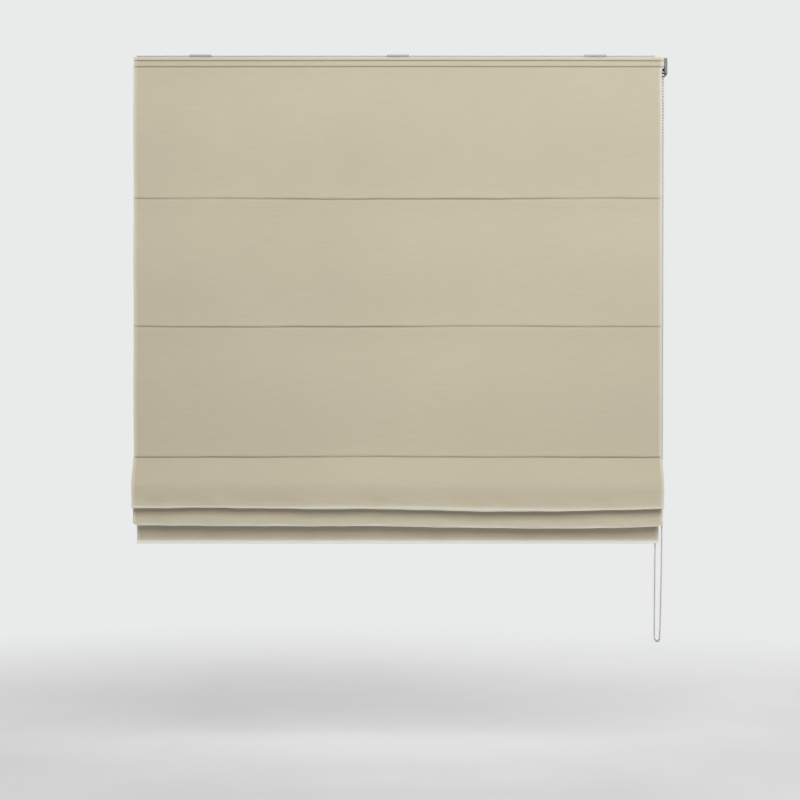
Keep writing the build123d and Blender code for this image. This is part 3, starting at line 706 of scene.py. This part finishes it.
def layer_faces(rows, across):
    """The quads of a closed layer: its front and back, its two sides, and its top and bottom ends."""
    sheet = rows * across
    faces = []
    for i in range(rows - 1):
        for j in range(across - 1):
            a = i * across + j
            faces.append((a, a + across, a + across + 1, a + 1))
            faces.append((a + sheet, a + 1 + sheet, a + across + 1 + sheet, a + across + sheet))
    for i in range(rows - 1):
        for j, step in ((0, 1), (across - 1, -1)):
            a, b = i * across + j, (i + 1) * across + j
            faces.append((a, a + sheet, b + sheet, b)[::step])
    for j in range(across - 1):
        for i, step in ((0, 1), (rows - 1, -1)):
            a, b = i * across + j, i * across + j + 1
            faces.append((a, b, b + sheet, a + sheet)[::step])
    return faces


def cloth_layer(name, start, end, columns, near, far, material, glow=1.0):
    """One closed layer of cloth between two lengths of the course.
    columns are x places; near and far give each column's distance behind the face, front and back."""
    s = course_rows(start, end)
    rows, across = len(s), len(columns)
    grid_s = np.repeat(s[:, None], across, 1)
    grid_x = np.repeat(columns[None, :], rows, 0)
    on_course = [np.repeat(v[:, None], across, 1) for v in course_frame(s)]
    base_y, base_z = cloth_shape(grid_s, grid_x, *on_course)
    # Normals again from the shaped surface, so that both faces of a layer stay parallel
    turn_y = np.gradient(base_y, axis=0)
    turn_z = np.gradient(base_z, axis=0)
    size = np.maximum(np.hypot(turn_y, turn_z), 1e-9)
    grid_ny, grid_nz = -turn_z / size, turn_y / size
    grid_taper = taper(grid_s, grid_x)
    sheets = []
    for distance in (near, far):
        offset = np.repeat(distance[None, :], rows, 0)
        sheets.append(np.stack([grid_taper, base_y + offset * grid_ny, base_z + offset * grid_nz], 2))
    piece = new_mesh(name, np.stack(sheets).reshape(-1, 3), layer_faces(rows, across), material)
    place = np.stack([grid_x, grid_s, np.zeros_like(grid_s)], 2).reshape(-1, 3)
    point_values(piece, "cloth_place", "FLOAT_VECTOR", np.tile(place, (2, 1)))
    # Painted highlights, scaled by glow, and painted shade along the sewn lines
    point_values(piece, "painted_fold_highlight", "FLOAT", np.tile(glow * painted_fold_highlight(grid_s, grid_x).ravel(), 2))
    point_values(piece, "painted_seam_shade", "FLOAT", np.tile(painted_seam_shade(grid_s, grid_x).ravel(), 2))
    return piece


FACE_COLUMNS = 168
LINING_COLUMNS = 90


def face_columns():
    """Columns of the face cloth: its side edges are folded to the back, two layers thick and rounded."""
    round_r = LAYERS / 2
    turn = np.linspace(0, math.pi / 2, 5)
    edge = half_cloth - round_r + round_r * np.sin(turn)
    dip = round_r - round_r * np.cos(turn)
    hem_in = half_cloth - SIDE_HEM
    right = np.concatenate([[hem_in - 0.2 * MM, hem_in, hem_in + 6 * MM, hem_in + 12 * MM], edge])
    near = np.concatenate([[0, 0, 0, 0], dip])
    far = np.concatenate([[CLOTH_T, LAYERS, LAYERS, LAYERS], LAYERS - dip])
    middle = np.linspace(-hem_in + 4 * MM, hem_in - 4 * MM, FACE_COLUMNS)
    flat = np.zeros_like(middle)
    columns = np.concatenate([-right[::-1], middle, right])
    near = np.concatenate([near[::-1], flat, near])
    far = np.concatenate([far[::-1], flat + CLOTH_T, far])
    return columns, near, far


def lining_columns():
    """Columns of the lining, which ends at the face's side hems with two thin edges."""
    half = half_cloth - SIDE_HEM - 0.3 * MM
    middle = np.linspace(-half + 5 * MM, half - 5 * MM, LINING_COLUMNS)
    columns = np.concatenate([[-half, -half + 0.3 * MM], middle, [half - 0.3 * MM, half]])
    near = np.full_like(columns, CLOTH_T + LAYER_GAP)
    far = np.full_like(columns, LAYERS)
    near[[0, -1]] += LINING_T / 2 - 0.02 * MM
    far[[0, -1]] -= LINING_T / 2 - 0.02 * MM
    return columns, near, far


def shorten(piece, number):
    """Hangs a piece from the root, or from the stage of the rod above its panel, and gives it its own mesh.
    """
    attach(piece, "root" if number == 1 else f"rod_{number - 1}_stage")
    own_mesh(piece)


def stretch_between(piece):
    """Bakes a piece's placement into its mesh."""
    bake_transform(piece)


def follow(piece, how):
    """Hangs a piece of cloth or thread from its stretch's body: a riding piece from the named body, a
    panel's piece through shorten; a loop leg's placement is only baked into its mesh.
    """
    kind, *stretch = how
    if kind == "ride":
        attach(piece, *stretch)
    elif kind == "panel":
        number, = stretch
        shorten(piece, number)
    elif kind == "front_leg":
        number, top, bottom = stretch
        stretch_between(piece)
    elif kind == "back_leg":
        number, bottom, top = stretch
        stretch_between(piece)


def hang_face(name, start, end, how):
    """One stretch of the face cloth, with its folded side hems."""
    piece = cloth_layer(f"cloth_{name}", start, end, *face_columns(), stone_cloth)
    follow(piece, how)
    return piece


def hang_lining(name, start, end, how):
    """The lining behind one stretch of the face cloth."""
    piece = cloth_layer(f"lining_{name}", start, end, *lining_columns(), ivory_lining, LINING_PAINTED_HIGHLIGHT)
    follow(piece, how)
    return piece


STRETCHES = [
    ("panel_1", s_top, s_rod1, ("panel", 1)),
    ("panel_2", s_rod1, s_rod2, ("panel", 2)),
    ("panel_3", s_rod2, s_rod3, ("panel", 3)),
    ("front_loop_outer", s_rod3, s_front, ("front_leg", 3, z3, front_bottom)),
    ("front_loop_inner", s_front, s_rod4, ("back_leg", 3, front_bottom, z4)),
    ("second_loop_outer", s_rod4, s_second, ("front_leg", 4, z4, second_bottom)),
    ("second_loop_inner", s_second, s_rod5, ("back_leg", 4, second_bottom, z5)),
]
ON_HEM = ("ride", "rod_5_stage")

for name, start, end, how in STRETCHES:
    face = hang_face(name, start, end, how)
    lining = hang_lining(name, start, end, how)
    if name == "panel_1":
        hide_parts("face_fabric")
        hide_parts("lining")

lining_end = place_on_course(hem_y, bar_high.z + 0.3 * MM, s_rod5)
hang_face("hem", s_rod5, s_end, ON_HEM)
hang_lining("hem", s_rod5, lining_end, ON_HEM)


# Stitches: short raised threads whose ends dip into the cloth

STITCH = 2.5 * MM
STITCH_PITCH = 3.4 * MM
SIDE_STITCH_PITCH = 7 * MM
# Each ring of a stitch: its place as a share of the half length, its radius and its height in millimetres
STITCH_RINGS = (
    (-1.0, 0.10, -0.24),
    (-0.55, 0.25, 0.04),
    (0.0, 0.28, 0.14),
    (0.55, 0.25, 0.04),
    (1.0, 0.10, -0.24),
)


def tube_faces(rings, sides):
    """The faces of a tube of rings that is closed at both ends."""
    faces = []
    for i in range(rings - 1):
        for j in range(sides):
            a, b = i * sides + j, i * sides + (j + 1) % sides
            faces.append((a, b, b + sides, a + sides))
    last = (rings - 1) * sides
    return faces + [tuple(range(sides - 1, -1, -1)), tuple(range(last, last + sides))]


def stitch_row(name, s, x, depth, material, sides=5):
    """Level stitches on the cloth: on its front, or on its back where depth is above zero."""
    places, down, behind = cloth_surface(s, x)
    level = np.array([1.0, 0.0, 0.0])
    outward = behind if depth > 0 else -behind
    places = places + depth * behind
    rings = []
    for share, radius, lift in STITCH_RINGS:
        centre = places + share * STITCH / 2 * level + lift * MM * outward
        for k in range(sides):
            turn = 2 * math.pi * k / sides
            rings.append(centre + radius * MM * (math.cos(turn) * down + math.sin(turn) * outward))
    points = np.stack(rings, 1)
    count = points.shape[1]
    one = tube_faces(len(STITCH_RINGS), sides)
    faces = [tuple(k + n * count for k in face) for n in range(len(s)) for face in one]
    return new_mesh(name, points.reshape(-1, 3), faces, material)


def level_row(name, body, place=None, line=None, inset=4 * MM):
    """A row across the whole cloth at one length, or along one of the wavy sewn lines."""
    x = np.arange(-half_cloth + inset, half_cloth - inset, STITCH_PITCH)
    s = np.full_like(x, place) if line is None else seam_lines(x)[line][0]
    row = stitch_row(name, s, x, 0.0, thread)
    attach(row, body)


def side_rows(name, start, end, how):
    """The hand stitches that hold the lining to both side hems along one stretch."""
    s = np.arange(start + 3 * MM, end - 3 * MM, SIDE_STITCH_PITCH)
    edge = half_cloth - SIDE_HEM - 0.2 * MM
    both = np.concatenate([np.full_like(s, -edge), np.full_like(s, edge)])
    row = stitch_row(f"side_stitches_{name}", np.tile(s, 2), both, LAYERS, lining_thread)
    follow(row, how)


level_row("header_stitches_1", "root", line=0)
level_row("header_stitches_2", "root", line=1)
for number in (1, 2, 3):
    level_row(f"rod_stitches_{number}", f"rod_{number}_stage", line=number + 1)
s_hem_row = place_on_course(hem_y, bar_high.z + 13 * MM, s_rod5)
level_row("hem_stitches", "rod_5_stage", place=s_hem_row, inset=8 * MM)
for stretch in STRETCHES + [("hem", s_rod5, lining_end, ON_HEM)]:
    side_rows(*stretch)


# Rod pockets: a strip of lining folded round each rod, slightly gathered by its seam

POCKET_R = 2.78 * MM
POCKET_WALL = 0.5 * MM
POCKET_RINGS = 236
GATHERS = ((0.037, 1.0), (0.023, 0.7), (0.015, 0.4))
GATHER_HEIGHT = 0.13 * MM


def rod_pocket(number, sides=22):
    """One rod's pocket: a thin sleeve with small gathers, most of them on the side away from the seam."""
    half = half_cloth - SIDE_HEM - 0.5 * MM
    x = np.linspace(-half, half, POCKET_RINGS)
    turn = np.linspace(0, 2 * math.pi, sides, endpoint=False)
    grid_x, grid_turn = np.meshgrid(x, turn, indexing="ij")
    gather = hand_wave(grid_x + 4 * MM * np.sin(grid_turn), number + 11.0, GATHERS)
    outer = POCKET_R + GATHER_HEIGHT * gather * (0.6 - 0.4 * np.cos(grid_turn))
    rings = []
    for radius in (outer, outer - POCKET_WALL):
        y = rod_y - radius * np.cos(grid_turn)
        z = rod_z[number - 1] + radius * np.sin(grid_turn)
        rings.append(np.stack([grid_x, y, z], 2).reshape(-1, 3))
    count = len(x) * sides
    faces = []
    for i in range(len(x) - 1):
        for j in range(sides):
            a, b = i * sides + j, i * sides + (j + 1) % sides
            faces.append((a, b, b + sides, a + sides))
            faces.append((a + count, a + sides + count, b + sides + count, b + count))
    for j in range(sides):
        a, b = j, (j + 1) % sides
        faces.append((a, a + count, b + count, b))
        a, b = count - sides + j, count - sides + (j + 1) % sides
        faces.append((a, b, b + count, a + count))
    piece = new_mesh(f"rod_pocket_{number}", np.concatenate(rings), faces, ivory_lining)
    place = np.stack([grid_x, POCKET_R * grid_turn, np.zeros_like(grid_x)], 2).reshape(-1, 3)
    point_values(piece, "cloth_place", "FLOAT_VECTOR", np.tile(place, (2, 1)))
    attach(piece, f"rod_{number}_stage")


for number in range(1, 6):
    rod_pocket(number)


# Ball chain: balls and a thin core along the route's own smooth line

def smooth_line(name, points):
    """The points of a NURBS line through given control points."""
    data = bpy.data.curves.new(name, "CURVE")
    data.dimensions = "3D"
    spline = data.splines.new("NURBS")
    spline.points.add(len(points) - 1)
    for control, point in zip(spline.points, points):
        control.co = (*point, 1)
    spline.order_u = 3
    spline.use_endpoint_u = True
    spline.resolution_u = 48
    holder = bpy.data.objects.new(name, data)
    mesh = bpy.data.meshes.new_from_object(holder)
    line = np.array([v.co[:] for v in mesh.vertices])
    bpy.data.objects.remove(holder)
    bpy.data.meshes.remove(mesh)
    return line


def along(line, places):
    """Points and headings at given lengths along a line."""
    s = lengths(line)

    def at(where):
        return np.stack([np.interp(where, s, line[:, k]) for k in range(3)], 1)

    heading = at(places + 0.5 * MM) - at(places - 0.5 * MM)
    return at(places), heading / np.linalg.norm(heading, axis=1)[:, None]


# The flat collar's width as a share of the ball's, and where the painted shade at the neck starts and how
# soon it is full
COLLAR = 0.28
NECK_START = 0.42
NECK_FADE = 0.14
CORE_RINGS = 900


def ball_template(rings=7, sides=12):
    """A hollow steel ball as rolled: round, with a small flat collar at each end where the link goes in."""
    points, faces = [], []
    first = math.asin(COLLAR)
    for i in range(rings):
        angle = first + (math.pi - 2 * first) * i / (rings - 1)
        radius, height = BEAD_D / 2 * math.sin(angle), BEAD_D / 2 * math.cos(angle)
        for j in range(sides):
            turn = 2 * math.pi * j / sides
            points.append((radius * math.cos(turn), radius * math.sin(turn), height))
    for i in range(rings - 1):
        for j in range(sides):
            a, b = i * sides + j, i * sides + (j + 1) % sides
            faces.append((a, a + sides, b + sides, b))
    faces.append(tuple(range(sides)))
    last = (rings - 1) * sides
    faces.append(tuple(range(last + sides - 1, last - 1, -1)))
    return np.array(points), faces


def beads_mesh(line, places):
    """Balls along a line, and how near each of their points is to a neck, which sets its painted shade."""
    template, quads = ball_template()
    neck = np.clip((np.abs(template[:, 2]) / (BEAD_D / 2) - NECK_START) / NECK_FADE, 0, 1)
    centres, headings = along(line, places)
    points, faces = [], []
    for centre, heading in zip(centres, headings):
        turn = np.array(Vector(heading).to_track_quat("Z", "X").to_matrix())
        faces += [tuple(k + len(points) * len(template) for k in quad) for quad in quads]
        points.append(template @ turn.T + centre)
    return np.concatenate(points), faces, np.tile(neck, len(places))


def tube_mesh(line, radius, sides):
    """A closed tube along a line."""
    centres, headings = along(line, lengths(line))
    points = []
    side = Vector((0, 1, 0))
    for centre, heading in zip(centres, headings):
        forward = Vector(heading)
        side = (side - side.dot(forward) * forward).normalized()
        up = forward.cross(side)
        for j in range(sides):
            turn = 2 * math.pi * j / sides
            points.append(Vector(centre) + radius * (math.cos(turn) * side + math.sin(turn) * up))
    return np.array([p[:] for p in points]), tube_faces(len(centres), sides)


def beaded_chain(name, line, places, core_line):
    """A piece of ball chain: balls at places along a line, and the thin links through them."""
    beads, faces, necks = beads_mesh(line, places)
    core, core_faces = tube_mesh(core_line, LINK_D / 2, 6)
    faces += [tuple(k + len(beads) for k in face) for face in core_faces]
    piece = new_mesh(name, np.concatenate([beads, core]), faces, ball_metal)
    # The links take the full painted shade of the necks
    point_values(piece, "bead_neck_shade", "FLOAT", np.concatenate([necks, np.ones(len(core))]))
    return piece


chain_line = smooth_line("chain_route", [tuple(MM * c for c in point) for point in CHAIN_ROUTE_MM])
chain_length = lengths(chain_line)[-1]
bead_count = int((chain_length - BEAD_D) / BEAD_PITCH) + 1
spare = chain_length - BEAD_D - (bead_count - 1) * BEAD_PITCH
bead_places = BEAD_D / 2 + spare / 2 + BEAD_PITCH * np.arange(bead_count)
core_line = along(chain_line, np.linspace(0, chain_length, CORE_RINGS))[0]
chain = beaded_chain("ball_chain", chain_line, bead_places, core_line)
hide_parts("chain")
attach(chain, "root")


# The same chain where it lies in the wheel's pockets, inside the control unit

WHEEL_POCKETS = 12
shaft = sum(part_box("drive_shaft"), Vector()) / 2
wheel_r = BEAD_PITCH * WHEEL_POCKETS / (2 * math.pi)
strand_x = CHAIN_ROUTE_MM[0][0] * MM
strand_top = CHAIN_ROUTE_MM[0][2] * MM + BEAD_D
arc = [
    (strand_x, shaft.y - wheel_r * math.cos(a), shaft.z + wheel_r * math.sin(a))
    for a in np.linspace(0, math.pi, 40)
]
front_rise = [(strand_x, shaft.y - wheel_r, z) for z in np.linspace(strand_top, shaft.z, 6)[:-1]]
back_fall = [(strand_x, shaft.y + wheel_r, z) for z in np.linspace(shaft.z, strand_top, 6)[1:]]
over_line = np.array(front_rise + arc + back_fall)
over_places = np.arange(0, lengths(over_line)[-1], BEAD_PITCH)
over = beaded_chain("chain_over_wheel", over_line, over_places, over_line)
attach(over, "root")


# Lift cords: turns wound on the spools and the runs through the guides

CORD_R = 0.7 * MM
CORD_TURN = 1.45 * MM


def cord_piece(name, line):
    points, faces = tube_mesh(np.array(line), CORD_R, 10)
    piece = new_mesh(name, points, faces, cord_white)
    return piece


def lift_cord(number):
    """One cord: its turns on the spool, a run for each stretch between the rods, and its tail."""
    low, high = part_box(f"lift_cord_{number}")
    axis = sum(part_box(f"spool_{number}"), Vector()) / 2
    cord_x, cord_y = low.x + 1.4 * MM, low.y + 0.8 * MM
    wind_r = axis.y - cord_y
    turns = int((high.x - cord_x - 1.0 * MM) / CORD_TURN)
    angles = np.linspace(0, 2 * math.pi * turns, 24 * turns + 1)
    shift = CORD_TURN / (2 * math.pi)
    winding = [
        (cord_x + shift * a, axis.y - wind_r * math.cos(a), axis.z + wind_r * math.sin(a))
        for a in angles
    ]
    wound = cord_piece(f"cord_turns_{number}", winding)
    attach(wound, "root")
    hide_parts(f"lift_cord_{number}")

    def hanging(name, top, bottom, rings):
        return cord_piece(name, [(cord_x, cord_y, z) for z in np.linspace(top, bottom, rings)])

    for part, (top, bottom) in enumerate(zip([axis.z, *rod_z], rod_z), 1):
        if part <= 3:
            shorten(hanging(f"cord_run_{number}_{part}", top, bottom, 12), part)
        else:
            stretch_between(hanging(f"cord_run_{number}_{part}", top, bottom, 8))
    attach(hanging(f"cord_tail_{number}", z5, low.z, 6), "rod_5_stage")


for number in range(1, 5):
    lift_cord(number)


# Camera, light, floor

def make_camera():
    data = bpy.data.cameras.new("camera")
    data.sensor_width = SENSOR_MM
    data.lens = SENSOR_MM * FOCAL_PX / PHOTO_SIDE_PX
    data.clip_end = 100
    camera = bpy.data.objects.new("camera", data)
    camera.location = (CAMERA_X, face_y - CAMERA_DISTANCE, CAMERA_Z)
    camera.rotation_euler = (math.pi / 2, 0, 0)
    bpy.context.scene.collection.objects.link(camera)
    bpy.context.scene.camera = camera


def area_light(name, place, target, size, power):
    data = bpy.data.lights.new(name, "AREA")
    data.shape = "RECTANGLE"
    data.size, data.size_y = size
    data.energy = power
    light = bpy.data.objects.new(name, data)
    light.location = place
    light.rotation_euler = (Vector(target) - Vector(place)).to_track_quat("-Z", "Y").to_euler()
    bpy.context.scene.collection.objects.link(light)


BACKDROP = (0.82, 0.825, 0.83)
FLOOR_LEVEL = -1.46
FLOOR_RADIUS = 3.4
FLOOR_SIDES = 96


def make_world():
    """Soft light from all round, and a pale background for what the camera and reflections see."""
    world = bpy.data.worlds.new("studio")
    bpy.context.scene.world = world
    world.use_nodes = True
    tree = world.node_tree
    tree.nodes.clear()
    lamp = node(tree, "ShaderNodeBackground", Color=(0.94, 0.96, 1.0, 1), Strength=0.11)
    seen = node(tree, "ShaderNodeBackground", Color=(*BACKDROP, 1), Strength=1.0)
    path = node(tree, "ShaderNodeLightPath")
    first = node(tree, "ShaderNodeMath", prop_operation="MAXIMUM")
    both = node(tree, "ShaderNodeMath", prop_operation="MAXIMUM")
    tree.links.new(path.outputs["Is Camera Ray"], first.inputs[0])
    tree.links.new(path.outputs["Is Glossy Ray"], first.inputs[1])
    tree.links.new(first.outputs[0], both.inputs[0])
    tree.links.new(path.outputs["Is Transmission Ray"], both.inputs[1])
    blend = node(tree, "ShaderNodeMixShader")
    tree.links.new(both.outputs[0], blend.inputs[0])
    tree.links.new(lamp.outputs[0], blend.inputs[1])
    tree.links.new(seen.outputs[0], blend.inputs[2])
    output = node(tree, "ShaderNodeOutputWorld")
    tree.links.new(blend.outputs[0], output.inputs["Surface"])


def make_floor():
    """A round pale floor below the chain, which fades into the background before its edge."""
    mesh = bpy.data.meshes.new("floor")
    angles = [2 * math.pi * k / FLOOR_SIDES for k in range(FLOOR_SIDES)]
    rim = [(FLOOR_RADIUS * math.cos(a), FLOOR_RADIUS * math.sin(a), FLOOR_LEVEL) for a in angles]
    mesh.from_pydata(rim, [], [tuple(range(FLOOR_SIDES))])
    material, tree = new_material("floor_paint")
    place = node(tree, "ShaderNodeTexCoord")
    grain = node(tree, "ShaderNodeTexNoise", Scale=3.0, Detail=3.0)
    tree.links.new(place.outputs["Object"], grain.inputs["Vector"])
    colour = ramp(tree, grain.outputs["Fac"], [(0.3, (0.80, 0.80, 0.80)), (0.7, (0.84, 0.84, 0.84))])
    finish_material(tree, colour, 0.9, Specular_IOR_Level=0.1)
    painted = tree.nodes["Principled BSDF"]
    output = tree.nodes["Material Output"]
    flat = node(tree, "ShaderNodeVectorMath", prop_operation="MULTIPLY")
    flat.inputs[1].default_value = (1, 1, 0)
    tree.links.new(place.outputs["Object"], flat.inputs[0])
    reach = node(tree, "ShaderNodeVectorMath", prop_operation="LENGTH")
    tree.links.new(flat.outputs["Vector"], reach.inputs[0])
    fade = node(
        tree, "ShaderNodeMapRange", From_Min=0.7, From_Max=2.6, prop_interpolation_type="SMOOTHSTEP",
    )
    tree.links.new(reach.outputs["Value"], fade.inputs["Value"])
    path = node(tree, "ShaderNodeLightPath")
    share = node(tree, "ShaderNodeMath", prop_operation="MULTIPLY")
    tree.links.new(fade.outputs["Result"], share.inputs[0])
    tree.links.new(path.outputs["Is Camera Ray"], share.inputs[1])
    glow = node(tree, "ShaderNodeEmission", Color=(*BACKDROP, 1), Strength=1.0)
    both = node(tree, "ShaderNodeMixShader")
    tree.links.new(share.outputs["Value"], both.inputs[0])
    tree.links.new(painted.outputs["BSDF"], both.inputs[1])
    tree.links.new(glow.outputs["Emission"], both.inputs[2])
    tree.links.new(both.outputs["Shader"], output.inputs["Surface"])
    mesh.materials.append(material)
    floor = bpy.data.objects.new("floor", mesh)
    bpy.context.scene.collection.objects.link(floor)


make_camera()
make_world()
make_floor()
area_light("key", place=(0.50, -2.6, 0.93), target=(0, 0, -0.35), size=(2.4, 1.9), power=81)
area_light("top", place=(0.0, 0.5, 2.6), target=(0, 0.5, -0.6), size=(2.0, 2.0), power=42)
area_light("back", place=(0.3, 2.8, 0.6), target=(0, 0, -0.6), size=(2.0, 2.0), power=40)

bpy.context.scene.view_settings.view_transform = "Standard"
